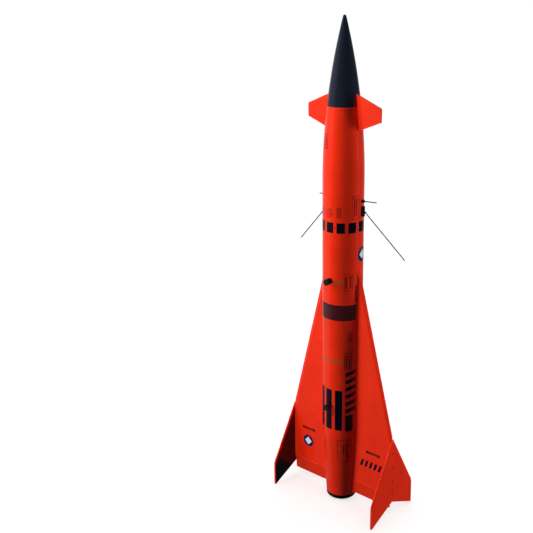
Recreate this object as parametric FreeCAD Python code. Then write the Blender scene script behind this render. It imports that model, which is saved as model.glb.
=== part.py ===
import FreeCAD, Part
import math
import os

# Model rocket after a winged target drone: ogive nose with two canards, paper body tube,
# conical tail, two swept wings with a vertical plate on each tip, a screw-on motor
# retainer, two launch rail buttons and four wire antennas.
# +Z is up (the nose), the wings reach along +X and -X, the rail buttons face -Y.
# The origin is on the long axis, level with the lower tips of the tip plates.

V = FreeCAD.Vector
AXIS_X = V(1, 0, 0)
AXIS_Y = V(0, 1, 0)
AXIS_Z = V(0, 0, 1)
ORIGIN = V(0, 0, 0)

# ---------------------------------------------------------------- driving dimensions (mm)
TOTAL_HEIGHT = 736.0
BODY_R = 30.0
TUBE_WALL = 1.2
FIT = 0.05                      # radial clearance of glued and sliding fits
SLOT_REACH = 40.0               # half-width of the cutters that open slots on both sides
DRILL = 10.0                    # length of the cutters that drill through one wall

# nose
OGIVE_LENGTH = 233.0            # to the sharp point that the round tip cuts short
TIP_R = 2.4
NOSE_WALL = 1.8
NOSE_HOLLOW_TOP = 696.0         # the tip is solid above this
NOSE_JOINT_Z = 614.5            # joint between the black tip and the red base
SPIGOT_LENGTH = 10.0
SHOULDER_LENGTH = 46.0
SHOULDER_WALL = 1.6
SHOULDER_BASE = 2.5
COLLAR_LENGTH = 12.0            # sleeve of the shoulder inside the nose
COLLAR_OVERLAP = 4.0
BULKHEAD_Z = 634.0
BULKHEAD_THICK = 4.0
WEIGHT_R = 10.5
WEIGHT_LENGTH = 20.0
WEIGHT_CHAMFER = 2.0
WEIGHT_HOLE_DEPTH = 14.0
WEIGHT_SCREW_R = 2.0
WEIGHT_SCREW_LENGTH = 16.0
WEIGHT_HEAD_R = 3.9
WEIGHT_HEAD_THICK = 2.6
DRIVER_SLOT = (0.5, 2.6, 1.1)   # half-width, half-length and depth of the cross recess

EYE_SHANK_R = 2.0
EYE_RING_R = 5.0
EYE_WIRE_R = 1.5
EYE_DROP = 7.6                  # from the shoulder's end down to the ring's centre
EYE_SHANK_TOP = 7.0
EYE_WASHER_R = 4.5
EYE_WASHER_THICK = 1.2
EYE_NUT_ACROSS = 7.0
EYE_NUT_THICK = 3.2

# canards
CANARD_TIP_X = 63.6
CANARD_TIP_Z = (595.7, 614.7)
CANARD_LE_SLOPE = 0.41          # rise of the leading edge per mm towards the body
CANARD_TE_SLOPE = 0.385
CANARD_THICK = 2.8
CANARD_BEVEL = (0.5, 2.2)       # off the edge face, off the broad face
CANARD_TAB_Z = (592.0, 608.0)
CANARD_TAB_X = 19.0

# body tube and tail cone
TAIL_JOINT_Z = 112.5
TAIL_END_Z = 8.3
TAIL_END_R = 23.35
TAIL_WALL = 1.6
TAIL_BORE_R = 27.0              # inside radius at the joint and in the shoulder
TAIL_SHOULDER = 20.0

# motor mount
MOTOR_BORE_R = 14.6
MOTOR_TUBE_R = 15.5
MOTOR_TUBE_Z = (6.0, 150.0)
THRUST_RING_R = 12.5
THRUST_RING_THICK = 6.0
RING_THICK = 3.0
RING_Z = {"aft": 17.0, "mid": 57.5, "forward": 143.0}

# retainer
RETAINER_THREAD_R = 19.0
RETAINER_BODY_Z = (3.3, 16.5)
RETAINER_MOUTH_R = 14.8
CAP_Z = (1.0, 8.0)
CAP_R = 22.3
CAP_CHAMFER = 1.5
CAP_LIP_R = 13.2
CAP_LIP_THICK = 2.0
CAP_RIBS = 28
CAP_RIB_R = 0.75
CAP_RIB_END = 0.6               # the ribs stop this far below the cap's top

# wings
WING_THICK = 4.4
WING_INNER_X = 20.0             # the raw panel starts here, inside the tube's wall
WING_LE_ROOT = (BODY_R, 383.8)  # x, z where the leading edge meets the tube
WING_LE_TIP = (96.0, 128.5)
WING_BEVEL = 5.0
WING_EDGE = 1.4                 # thickness left at the leading edge
RIDGE_Z = 33.0
TRAILING_Z = 11.5
TRAILING_THICK = 1.0
BEAD_R = 2.55                   # round bead where the elevon meets the wing
FAIRING_W = 3.6
FAIRING_END_Z = 10.0
FAIRING_TOP_GAP = 6.0           # below the wing's leading edge
ELEVON_END_X = 93.4
TAB_THICK = 3.0
TAB_Z = (61.0, 142.5)

# tip plates
PLATE_THICK = 3.0
PLATE_IN_X = 94.75
PLATE_APEX_Z = 129.5
PLATE_OUT_Y = 51.5
PLATE_OUT_Z = 40.0
PLATE_ROOT_Z = 23.5
PLATE_BEVEL = 4.0
PLATE_EDGE = 1.6
TIP_TAB_Z = (34.0, 110.0)
TIP_TAB_THICK = 2.0
TIP_TAB_SHORT = 0.2             # the tab ends this far inside the plate's outer face
PIN_Z = (36.8, 60.0, 83.2, 106.4)
PIN_R = 1.1
PIN_PROUD = 0.35
PIN_SUNK = 0.8                  # the pins start this far inside the plate

# rail buttons
BUTTON_Z = {"forward": 365.1, "aft": 164.7}
BUTTON_R = 4.6
BUTTON_NECK_R = 2.8
BUTTON_FLANGE = 2.8
BUTTON_NECK = 4.4
BUTTON_ROUND = 0.6
BUTTON_SADDLE = 0.9             # raw foot depth, trimmed to the tube
SCREW_R = 1.5
SCREW_HEAD_R = 2.9
SCREW_HEAD_THICK = 1.6
SCREW_SINK = 0.4                # the head's top sits this far inside the button
SCREW_LENGTH = 15.5
SOCKET_R = 1.3
SOCKET_DEPTH = 0.9
NUT_R = 3.1
NUT_LENGTH = 2.6

# antennas
ANTENNA_ANGLE = 100.5           # from the rail button side
ROD_R = 0.75
UPPER_MOUNT_Z = 481.6
UPPER_MOUNT_R = 2.5
UPPER_MOUNT_OUT = 3.6
UPPER_MOUNT_ROUND = 1.2
SHORT_ROD_END = 52.5
LOWER_MOUNT_Z = 467.0
LOWER_MOUNT_SIZE = (5.0, 16.0)
LOWER_MOUNT_OUT = 4.0
LOWER_MOUNT_ROUND = 1.3
MOUNT_SADDLE = 2.0              # raw boss depth inside the tube's surface, trimmed off
LONG_ROD_END = (97.0, 403.6)    # distance from the axis, height
ROOT_BALL_R = 1.5
ROOT_BALL_DROP = 1.5
PEG_R = 1.2
PEG_SHORT = 0.15                # the pegs end this far outside the tube's bore

# recovery
PARACHUTE_Z = (292.0, 392.0)
PARACHUTE_R = 21.0
PARACHUTE_ROUND = 9.0
CORD_MOUNT_Z = (410.0, 436.0)
CORD_MOUNT_DEPTH = 2.2
CORD_MOUNT_ANGLE = 52.0
CORD_GROOVE = (6.0, 0.9, 8.0)   # width, depth, length left closed at the top

# ---------------------------------------------------------------- derived sizes
OGIVE_R = (BODY_R**2 + OGIVE_LENGTH**2) / (2 * BODY_R)
OGIVE_AXIS_X = BODY_R - OGIVE_R
TIP_CENTRE = math.sqrt((OGIVE_R - TIP_R) ** 2 - OGIVE_AXIS_X**2)
NOSE_BASE_Z = TOTAL_HEIGHT - TIP_CENTRE - TIP_R
TUBE_IN_R = BODY_R - TUBE_WALL
SHOULDER_R = TUBE_IN_R - FIT
TAIL_SLOPE = (BODY_R - TAIL_END_R) / (TAIL_JOINT_Z - TAIL_END_Z)


# ---------------------------------------------------------------- helpers
def save(name, shape):
    shape.exportStep(os.path.join("parts", name + ".step"))


def cylinder(radius, low, high):
    return Part.makeCylinder(radius, high - low, V(0, 0, low), AXIS_Z)


def tube(outer, inner, low, high):
    return cylinder(outer, low, high).cut(cylinder(inner, low - 1, high + 1))


def cone(r_low, r_high, low, high):
    return Part.makeCone(r_low, r_high, high - low, V(0, 0, low), AXIS_Z)


def block(low, high):
    size = V(*high).sub(V(*low))
    return Part.makeBox(size.x, size.y, size.z, V(*low))


def prism_xz(points, y_low, y_high):
    """Straight-sided outline in the XZ plane, as thick as y_low to y_high."""
    corners = [V(x, y_low, z) for x, z in points]
    face = Part.Face(Part.makePolygon(corners + corners[:1]))
    return face.extrude(V(0, y_high - y_low, 0))


def prism_yz(points, x_low, x_high):
    """Straight-sided outline in the YZ plane, as thick as x_low to x_high."""
    corners = [V(x_low, y, z) for y, z in points]
    face = Part.Face(Part.makePolygon(corners + corners[:1]))
    return face.extrude(V(x_high - x_low, 0, 0))


def mirrored(shape):
    return shape.mirror(ORIGIN, AXIS_X)


def tail_r(z):
    """Outer radius of the rocket below the nose at height z."""
    if z >= TAIL_JOINT_Z:
        return BODY_R
    return BODY_R - TAIL_SLOPE * (TAIL_JOINT_Z - z)


def bevel(shape, edge_filter, depth, width):
    """Chamfer the picked edges: depth off the edge face, width off the broad face."""
    edges = [e for e in shape.Edges if edge_filter(e)]
    return shape.makeChamfer(depth, width, edges)


# ---------------------------------------------------------------- nose
def ogive_r(z, wall=0.0):
    """Radius at height z of the nose surface, or of the surface wall below it."""
    return OGIVE_AXIS_X + math.sqrt((OGIVE_R - wall) ** 2 - (z - NOSE_BASE_Z) ** 2)


def ogive_edge(low, high, wall=0.0):
    middle = (low + high) / 2
    ends = [V(ogive_r(z, wall), 0, z) for z in (low, middle, high)]
    return Part.Arc(*ends).toShape()


def revolved(edges):
    return Part.Face(Part.Wire(edges)).revolve(ORIGIN, AXIS_Z, 360)


def ogive_solid(low, high, wall=0.0):
    arc = ogive_edge(low, high, wall)
    inner_low = V(0, 0, low)
    inner_high = V(0, 0, high)
    edges = [
        Part.makeLine(inner_low, V(ogive_r(low, wall), 0, low)),
        arc,
        Part.makeLine(V(ogive_r(high, wall), 0, high), inner_high),
        Part.makeLine(inner_high, inner_low),
    ]
    return revolved(edges)


def nose_tip():
    ball_z = NOSE_BASE_Z + TIP_CENTRE
    lean = math.atan2(TIP_CENTRE, -OGIVE_AXIS_X)
    touch = V(TIP_R * math.cos(lean), 0, ball_z + TIP_R * math.sin(lean))
    half = (lean + math.pi / 2) / 2
    ball_middle = V(TIP_R * math.cos(half), 0, ball_z + TIP_R * math.sin(half))
    top = V(0, 0, TOTAL_HEIGHT)
    foot = V(ogive_r(NOSE_JOINT_Z), 0, NOSE_JOINT_Z)
    middle_z = (NOSE_JOINT_Z + touch.z) / 2
    flank = Part.Arc(foot, V(ogive_r(middle_z), 0, middle_z), touch).toShape()
    edges = [
        Part.makeLine(V(0, 0, NOSE_JOINT_Z), foot),
        flank,
        Part.Arc(touch, ball_middle, top).toShape(),
        Part.makeLine(top, V(0, 0, NOSE_JOINT_Z)),
    ]
    return revolved(edges).cut(ogive_solid(NOSE_JOINT_Z, NOSE_HOLLOW_TOP, NOSE_WALL))


def nose_base():
    outer = ogive_solid(NOSE_BASE_Z, NOSE_JOINT_Z)
    shell = outer.cut(ogive_solid(NOSE_BASE_Z, NOSE_JOINT_Z, NOSE_WALL))
    low = NOSE_JOINT_Z - SPIGOT_LENGTH
    high = NOSE_JOINT_Z + SPIGOT_LENGTH
    spigot = ogive_solid(low, high, NOSE_WALL + FIT)
    spigot = spigot.cut(ogive_solid(low, high, 2 * NOSE_WALL))
    ledge = ogive_solid(low, NOSE_JOINT_Z, NOSE_WALL - FIT)
    ledge = ledge.cut(ogive_solid(low, NOSE_JOINT_Z, 2 * NOSE_WALL))
    shell = shell.fuse([spigot, ledge]).removeSplitter()
    slot_y = CANARD_THICK / 2 + FIT
    low_corner = (-SLOT_REACH, -slot_y, CANARD_TAB_Z[0] - FIT)
    high_corner = (SLOT_REACH, slot_y, CANARD_TAB_Z[1] + FIT)
    return shell.cut(block(low_corner, high_corner))


def nose_shoulder():
    low = NOSE_BASE_Z - SHOULDER_LENGTH
    collar_top = NOSE_BASE_Z + COLLAR_LENGTH
    collar_r = ogive_r(collar_top, NOSE_WALL) - FIT
    inner = SHOULDER_R - SHOULDER_WALL
    skirt = cylinder(SHOULDER_R, low, NOSE_BASE_Z)
    skirt = skirt.cut(cylinder(inner, low + SHOULDER_BASE, NOSE_BASE_Z))
    collar_low = NOSE_BASE_Z - COLLAR_OVERLAP
    collar = tube(collar_r, collar_r - SHOULDER_WALL, collar_low, collar_top)
    cup = skirt.fuse(collar).removeSplitter()
    return cup.cut(cylinder(EYE_SHANK_R + FIT, low - 1, low + SHOULDER_BASE + 1))


def nose_eyelet():
    base = NOSE_BASE_Z - SHOULDER_LENGTH
    ring_z = base - EYE_DROP
    ring = Part.makeTorus(EYE_RING_R, EYE_WIRE_R, V(0, 0, ring_z), AXIS_Y)
    shank = cylinder(EYE_SHANK_R, ring_z + EYE_RING_R, base + EYE_SHANK_TOP)
    washer = cylinder(EYE_WASHER_R, base - EYE_WASHER_THICK, base)
    return ring.fuse([shank, washer]).removeSplitter()


def hex_nut(across, thick, hole, base, direction):
    radius = across / math.sqrt(3)
    corners = []
    for i in range(7):
        turn = math.radians(60 * i)
        corners.append(V(radius * math.cos(turn), radius * math.sin(turn), 0))
    nut = Part.Face(Part.makePolygon(corners)).extrude(V(0, 0, thick))
    nut = nut.cut(Part.makeCylinder(hole, thick + 2, V(0, 0, -1), AXIS_Z))
    turn = FreeCAD.Rotation(AXIS_Z, direction)
    nut.Placement = FreeCAD.Placement(base, turn)
    return nut


def nose_eyelet_nut():
    base = V(0, 0, NOSE_BASE_Z - SHOULDER_LENGTH + SHOULDER_BASE)
    return hex_nut(EYE_NUT_ACROSS, EYE_NUT_THICK, EYE_SHANK_R, base, AXIS_Z)


def nose_bulkhead():
    high = BULKHEAD_Z + BULKHEAD_THICK
    disc = ogive_solid(BULKHEAD_Z, high, NOSE_WALL + FIT)
    return disc.cut(cylinder(WEIGHT_SCREW_R + FIT, BULKHEAD_Z - 1, high + 1))


def nose_weight():
    low = BULKHEAD_Z + BULKHEAD_THICK
    slug = cylinder(WEIGHT_R, low, low + WEIGHT_LENGTH)
    top_rim = [e for e in slug.Edges if e.BoundBox.ZMin > low + 1 and e.Closed]
    slug = slug.makeChamfer(WEIGHT_CHAMFER, top_rim)
    return slug.cut(cylinder(WEIGHT_SCREW_R, low - 1, low + WEIGHT_HOLE_DEPTH))


def nose_weight_screw():
    base = BULKHEAD_Z - WEIGHT_HEAD_THICK
    head = cylinder(WEIGHT_HEAD_R, base, BULKHEAD_Z)
    rim = [e for e in head.Edges if e.Closed and e.BoundBox.ZMax < BULKHEAD_Z - 1]
    head = head.makeFillet(0.8, rim)
    shank = cylinder(WEIGHT_SCREW_R, BULKHEAD_Z - 0.1, BULKHEAD_Z + WEIGHT_SCREW_LENGTH)
    wide, long, deep = DRIVER_SLOT
    driver = block((-wide, -long, base - 1), (wide, long, base + deep))
    cross = block((-long, -wide, base - 1), (long, wide, base + deep))
    return head.fuse(shank).removeSplitter().cut(driver.fuse(cross))


def nose_core():
    """The nose without its tip, solid, to trim the canards against."""
    return ogive_solid(NOSE_BASE_Z, NOSE_HOLLOW_TOP)


def canard():
    tip_low, tip_high = CANARD_TIP_Z
    reach = CANARD_TIP_X - CANARD_TAB_X
    outline = [
        (CANARD_TIP_X, tip_low),
        (CANARD_TIP_X, tip_high),
        (CANARD_TAB_X, tip_high + CANARD_LE_SLOPE * reach),
        (CANARD_TAB_X, tip_low - CANARD_TE_SLOPE * reach),
    ]
    half = CANARD_THICK / 2
    blade = prism_xz(outline, -half, half)
    blade = bevel(blade, lambda e: abs(slope_of(e) + CANARD_LE_SLOPE) < 0.01, *CANARD_BEVEL)
    blade = blade.cut(nose_core())
    tab_low, tab_high = CANARD_TAB_Z
    tab = block((CANARD_TAB_X, -half, tab_low), (ogive_r(tab_low), half, tab_high))
    tab = tab.common(nose_core())
    return blade.fuse(tab).removeSplitter()


def slope_of(edge):
    """Rise over run in the XZ plane of an edge that lies along it, else a large number."""
    a = edge.Vertexes[0].Point
    b = edge.Vertexes[-1].Point
    if abs(a.y - b.y) > 0.01 or abs(a.x - b.x) < 0.01:
        return 1e6
    return (b.z - a.z) / (b.x - a.x)


# ---------------------------------------------------------------- body
def body_tube():
    shell = tube(BODY_R, TUBE_IN_R, TAIL_JOINT_Z, NOSE_BASE_Z)
    cutters = [wing_slot()]
    inside = TUBE_IN_R - DRILL / 2
    for z in BUTTON_Z.values():
        cutters.append(Part.makeCylinder(SCREW_R + FIT, DRILL, V(0, -inside, z), V(0, -1, 0)))
    for side in (-1, 1):
        out = antenna_direction(side)
        for z in (UPPER_MOUNT_Z, LOWER_MOUNT_Z):
            start = V(out.x * inside, out.y * inside, z)
            cutters.append(Part.makeCylinder(PEG_R + FIT, DRILL, start, out))
    return shell.cut(cutters)


def wing_slot():
    half = TAB_THICK / 2 + FIT
    low, high = TAB_Z
    return block((-SLOT_REACH, -half, low - FIT), (SLOT_REACH, half, high + FIT))


def tail_cone():
    outer = cone(TAIL_END_R, BODY_R, TAIL_END_Z, TAIL_JOINT_Z)
    top = TAIL_JOINT_Z + TAIL_SHOULDER
    shoulder = cylinder(TUBE_IN_R - FIT, TAIL_JOINT_Z - 1, top)
    bore = cone(TAIL_END_R - TAIL_WALL, TAIL_BORE_R, TAIL_END_Z, TAIL_JOINT_Z)
    through = cylinder(TAIL_BORE_R, TAIL_JOINT_Z, top + 1)
    return outer.fuse(shoulder).removeSplitter().cut(bore).cut(through).cut(wing_slot())


def tail_bore_r(z):
    slope = (TAIL_BORE_R - TAIL_END_R + TAIL_WALL) / (TAIL_JOINT_Z - TAIL_END_Z)
    return TAIL_END_R - TAIL_WALL + slope * (z - TAIL_END_Z)


def shock_cord_mount():
    low, high = CORD_MOUNT_Z
    pad = tube(TUBE_IN_R, TUBE_IN_R - CORD_MOUNT_DEPTH, low, high)
    height = high - low
    wedge = Part.makeCylinder(BODY_R, height, V(0, 0, low), AXIS_Z, CORD_MOUNT_ANGLE)
    wedge.rotate(ORIGIN, AXIS_Z, 90 - CORD_MOUNT_ANGLE / 2)
    pad = pad.common(wedge)
    wide, deep, closed = CORD_GROOVE
    face_y = TUBE_IN_R - CORD_MOUNT_DEPTH
    groove = block((-wide / 2, 0, low - 1), (wide / 2, face_y + deep, high - closed))
    return pad.cut(groove)


def parachute_pack():
    low, high = PARACHUTE_Z
    roll = cylinder(PARACHUTE_R, low, high)
    return roll.makeFillet(PARACHUTE_ROUND, [e for e in roll.Edges if e.Closed])


# ---------------------------------------------------------------- motor mount
def motor_tube():
    return tube(MOTOR_TUBE_R, MOTOR_BORE_R, *MOTOR_TUBE_Z)


def thrust_ring():
    base = MOTOR_TUBE_Z[1]
    return tube(MOTOR_TUBE_R, THRUST_RING_R, base, base + THRUST_RING_THICK)


def centering_ring(name):
    low = RING_Z[name]
    high = low + RING_THICK
    if name == "forward":
        disc = cylinder(TUBE_IN_R - FIT, low, high)
    else:
        disc = cone(tail_bore_r(low) - FIT, tail_bore_r(high) - FIT, low, high)
    return disc.cut(cylinder(MOTOR_TUBE_R + FIT, low - 1, high + 1))


def retainer_body():
    low, high = RETAINER_BODY_Z
    ring = cylinder(RETAINER_THREAD_R - FIT, low, high)
    ring = ring.cut(cylinder(MOTOR_TUBE_R + FIT, MOTOR_TUBE_Z[0], high + 1))
    return ring.cut(cylinder(RETAINER_MOUTH_R, low - 1, high + 1))


def retainer_cap():
    low, high = CAP_Z
    cap = cylinder(CAP_R, low, high)
    rim = [e for e in cap.Edges if e.Closed and e.BoundBox.ZMax < low + 0.1]
    cap = cap.makeChamfer(CAP_CHAMFER, rim)
    ribs = []
    rib_low = low + CAP_CHAMFER
    rib_length = high - CAP_RIB_END - rib_low
    for i in range(CAP_RIBS):
        turn = 2 * math.pi * i / CAP_RIBS
        place = V(CAP_R * math.cos(turn), CAP_R * math.sin(turn), rib_low)
        ribs.append(Part.makeCylinder(CAP_RIB_R, rib_length, place, AXIS_Z))
    cap = cap.fuse(ribs).removeSplitter()
    cap = cap.cut(cylinder(RETAINER_THREAD_R, low + CAP_LIP_THICK, high + 1))
    return cap.cut(cylinder(CAP_LIP_R, low - 1, high))


# ---------------------------------------------------------------- wings (right side, +X)
def leading_x(z):
    """Distance from the axis of the wing's leading edge at height z."""
    (x0, z0), (x1, z1) = WING_LE_ROOT, WING_LE_TIP
    return x0 + (x1 - x0) * (z0 - z) / (z0 - z1)


def leading_z(x):
    (x0, z0), (x1, z1) = WING_LE_ROOT, WING_LE_TIP
    return z0 - (x - x0) * (z0 - z1) / (x1 - x0)


def body_solid():
    """The rocket's outside below the nose, as one solid to trim the wings against."""
    lower = cone(tail_r(0), BODY_R, 0, TAIL_JOINT_Z)
    return lower.fuse(cylinder(BODY_R, TAIL_JOINT_Z, NOSE_BASE_Z))


def wing():
    half = WING_THICK / 2
    outline = [
        (WING_INNER_X, RIDGE_Z),
        (PLATE_IN_X, RIDGE_Z),
        (PLATE_IN_X, leading_z(PLATE_IN_X)),
        (WING_INNER_X, leading_z(WING_INNER_X)),
    ]
    panel = prism_xz(outline, -half, half)
    rise = (WING_LE_ROOT[1] - WING_LE_TIP[1]) / (WING_LE_TIP[0] - WING_LE_ROOT[0])
    depth = (WING_THICK - WING_EDGE) / 2
    panel = bevel(panel, lambda e: abs(slope_of(e) + rise) < 0.05, depth, WING_BEVEL)
    panel = panel.cut(body_solid())
    bead = Part.makeCylinder(BEAD_R + FIT, ELEVON_END_X, V(0, 0, RIDGE_Z), AXIS_X)
    panel = panel.cut(bead)
    root_half = TAB_THICK / 2
    low, high = TAB_Z
    root_tab = block((MOTOR_TUBE_R + FIT, -root_half, low), (BODY_R + 1, root_half, high))
    tip_half = TIP_TAB_THICK / 2
    tip_x = PLATE_IN_X + PLATE_THICK - TIP_TAB_SHORT
    low, high = TIP_TAB_Z
    tip_tab = block((PLATE_IN_X - 1, -tip_half, low), (tip_x, tip_half, high))
    return panel.fuse([root_tab, tip_tab]).removeSplitter().cut(plate_pins())


def fairing_section(z):
    """Concave fillet between the body and the wing's +Y face at height z, as a wire."""
    radius = tail_r(z)
    half = WING_THICK / 2
    out = half + FAIRING_W
    corner = V(math.sqrt(radius**2 - half**2), half, z)
    tip = V(radius + FAIRING_W, half, z)
    top = V(math.sqrt(radius**2 - out**2), out, z)
    sag = FAIRING_W * (1 - math.sqrt(0.5))
    middle = V((radius + sag), half + sag, z)
    turn = math.asin(out / radius) / 2 + math.asin(half / radius) / 2
    on_body = V(radius * math.cos(turn), radius * math.sin(turn), z)
    edges = [
        Part.makeLine(corner, tip),
        Part.Arc(tip, middle, top).toShape(),
        Part.Arc(top, on_body, corner).toShape(),
    ]
    return Part.Wire(edges)


def wing_root_fairing():
    lower_z = (FAIRING_END_Z, TAIL_JOINT_Z)
    upper_z = (TAIL_JOINT_Z, WING_LE_ROOT[1])
    spans = []
    for low, high in (lower_z, upper_z):
        sections = [fairing_section(low), fairing_section(high)]
        spans.append(Part.makeLoft(sections, True, True))
    strip = spans[0].fuse(spans[1]).removeSplitter()
    outer_x = 2 * BODY_R
    keep_outline = [
        (WING_INNER_X, 0),
        (outer_x, 0),
        (outer_x, leading_z(outer_x) - FAIRING_TOP_GAP),
        (WING_INNER_X, leading_z(WING_INNER_X) - FAIRING_TOP_GAP),
    ]
    strip = strip.common(prism_xz(keep_outline, -BODY_R, BODY_R)).cut(body_solid())
    other = strip.mirror(ORIGIN, AXIS_Y)
    return Part.makeCompound([strip, other])


def elevon():
    half = WING_THICK / 2
    thin = TRAILING_THICK / 2
    section = [(-thin, TRAILING_Z), (thin, TRAILING_Z), (half, RIDGE_Z), (-half, RIDGE_Z)]
    wedge = prism_yz(section, WING_INNER_X, ELEVON_END_X)
    length = ELEVON_END_X - WING_INNER_X
    bead = Part.makeCylinder(BEAD_R, length, V(WING_INNER_X, 0, RIDGE_Z), AXIS_X)
    top = RIDGE_Z + BEAD_R + 1
    outline = [
        (tail_r(TRAILING_Z) + FAIRING_W, TRAILING_Z - 1),
        (ELEVON_END_X + 1, TRAILING_Z - 1),
        (ELEVON_END_X + 1, top),
        (tail_r(top) + FAIRING_W, top),
    ]
    keep = prism_xz(outline, -10, 10)
    return wedge.fuse(bead).removeSplitter().common(keep)


def tip_plate():
    outer_x = PLATE_IN_X + PLATE_THICK
    outline = [
        (0, PLATE_APEX_Z),
        (PLATE_OUT_Y, PLATE_OUT_Z),
        (PLATE_OUT_Y, 0),
        (0, PLATE_ROOT_Z),
        (-PLATE_OUT_Y, 0),
        (-PLATE_OUT_Y, PLATE_OUT_Z),
    ]
    plate = prism_yz(outline, PLATE_IN_X, outer_x)
    depth = (PLATE_THICK - PLATE_EDGE) / 2
    plate = bevel(plate, is_plate_leading_edge, depth, PLATE_BEVEL)
    half = TIP_TAB_THICK / 2 + FIT
    slot_low, slot_high = TIP_TAB_Z
    low_corner = (PLATE_IN_X - 1, -half, slot_low - FIT)
    high_corner = (outer_x + 1, half, slot_high + FIT)
    slot = block(low_corner, high_corner)
    return plate.cut(slot).cut(plate_pins())


def is_plate_leading_edge(edge):
    a = edge.Vertexes[0].Point
    b = edge.Vertexes[-1].Point
    if abs(a.x - b.x) > 0.01:
        return False
    return max(a.z, b.z) > PLATE_APEX_Z - 1


def plate_pins():
    start = PLATE_IN_X + PIN_SUNK
    length = PLATE_IN_X + PLATE_THICK + PIN_PROUD - start
    pins = [Part.makeCylinder(PIN_R, length, V(start, 0, z), AXIS_X) for z in PIN_Z]
    return Part.makeCompound(pins)


# ---------------------------------------------------------------- rail buttons
def rail_button(name):
    z = BUTTON_Z[name]
    total = 2 * BUTTON_FLANGE + BUTTON_NECK
    start = V(0, -BODY_R + BUTTON_SADDLE, z)
    out = V(0, -1, 0)
    foot = Part.makeCylinder(BUTTON_R, BUTTON_FLANGE + BUTTON_SADDLE, start, out)
    neck = Part.makeCylinder(BUTTON_NECK_R, total, start, out)
    head_start = V(0, -BODY_R - total + BUTTON_FLANGE, z)
    head = Part.makeCylinder(BUTTON_R, BUTTON_FLANGE, head_start, out)
    spool = foot.fuse([neck, head]).removeSplitter()
    outer_y = -BODY_R - total
    rims = [e for e in spool.Edges if e.Closed and abs(e.BoundBox.YMax - outer_y) < 0.01]
    spool = spool.makeFillet(BUTTON_ROUND, rims)
    outer = V(0, outer_y, z)
    sink = Part.makeCylinder(SCREW_HEAD_R + FIT, SCREW_SINK + SCREW_HEAD_THICK, outer, AXIS_Y)
    bore = Part.makeCylinder(SCREW_R + FIT, SCREW_LENGTH, outer, AXIS_Y)
    return spool.cut([sink, bore, cylinder(BODY_R, z - DRILL, z + DRILL)])


def rail_button_screw(name):
    z = BUTTON_Z[name]
    top = V(0, -BODY_R - 2 * BUTTON_FLANGE - BUTTON_NECK + SCREW_SINK, z)
    head = Part.makeCylinder(SCREW_HEAD_R, SCREW_HEAD_THICK, top, AXIS_Y)
    shank = Part.makeCylinder(SCREW_R, SCREW_LENGTH, top, AXIS_Y)
    socket = Part.makeCylinder(SOCKET_R, SOCKET_DEPTH, top, AXIS_Y)
    return head.fuse(shank).removeSplitter().cut(socket)


def rail_button_nut(name):
    z = BUTTON_Z[name]
    wall_y = -math.sqrt(TUBE_IN_R**2 - NUT_R**2) + FIT
    across = NUT_R * math.sqrt(3)
    return hex_nut(across, NUT_LENGTH, SCREW_R, V(0, wall_y, z), AXIS_Y)


# ---------------------------------------------------------------- antennas
def antenna_direction(side):
    turn = math.radians(ANTENNA_ANGLE)
    return V(side * math.sin(turn), -math.cos(turn), 0)


def turned_out(shape, side):
    """Turn a shape modelled along +X to the antenna's place on one side."""
    direction = antenna_direction(side)
    heading = math.degrees(math.atan2(direction.y, direction.x))
    turned = shape.copy()
    turned.rotate(ORIGIN, AXIS_Z, heading)
    return turned


def on_tube(boss, z):
    """Trim a boss to the tube and add its peg through the tube's wall."""
    boss = boss.cut(cylinder(BODY_R, z - BODY_R, z + BODY_R))
    start = TUBE_IN_R + PEG_SHORT
    peg = Part.makeCylinder(PEG_R, BODY_R + 1 - start, V(start, 0, z), AXIS_X)
    return boss.fuse(peg).removeSplitter()


def antenna_mount_upper(side):
    reach = UPPER_MOUNT_OUT + MOUNT_SADDLE
    start = V(BODY_R - MOUNT_SADDLE, 0, UPPER_MOUNT_Z)
    dome = Part.makeCylinder(UPPER_MOUNT_R, reach, start, AXIS_X)
    top_x = BODY_R + UPPER_MOUNT_OUT
    rim = [e for e in dome.Edges if e.Closed and abs(e.BoundBox.XMin - top_x) < 0.01]
    dome = dome.makeFillet(UPPER_MOUNT_ROUND, rim)
    return turned_out(on_tube(dome, UPPER_MOUNT_Z), side)


def antenna_mount_lower(side):
    width, height = LOWER_MOUNT_SIZE
    radius = width / 2
    low = LOWER_MOUNT_Z - height / 2 + radius
    high = LOWER_MOUNT_Z + height / 2 - radius
    reach = LOWER_MOUNT_OUT + MOUNT_SADDLE
    x = BODY_R - MOUNT_SADDLE
    ends = [Part.makeCylinder(radius, reach, V(x, 0, z), AXIS_X) for z in (low, high)]
    middle = block((x, -radius, low), (x + reach, radius, high))
    pill = middle.fuse(ends).removeSplitter()
    top_x = x + reach
    rim = [e for e in pill.Edges if abs(e.BoundBox.XMin - top_x) < 0.01]
    pill = pill.makeFillet(LOWER_MOUNT_ROUND, rim)
    return turned_out(on_tube(pill, LOWER_MOUNT_Z), side)


def antenna_short(side):
    x = BODY_R + UPPER_MOUNT_OUT
    rod = Part.makeCylinder(ROD_R, SHORT_ROD_END - x - ROD_R, V(x, 0, UPPER_MOUNT_Z), AXIS_X)
    tip = Part.makeSphere(ROD_R, V(SHORT_ROD_END - ROD_R, 0, UPPER_MOUNT_Z))
    return turned_out(rod.fuse(tip).removeSplitter(), side)


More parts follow.
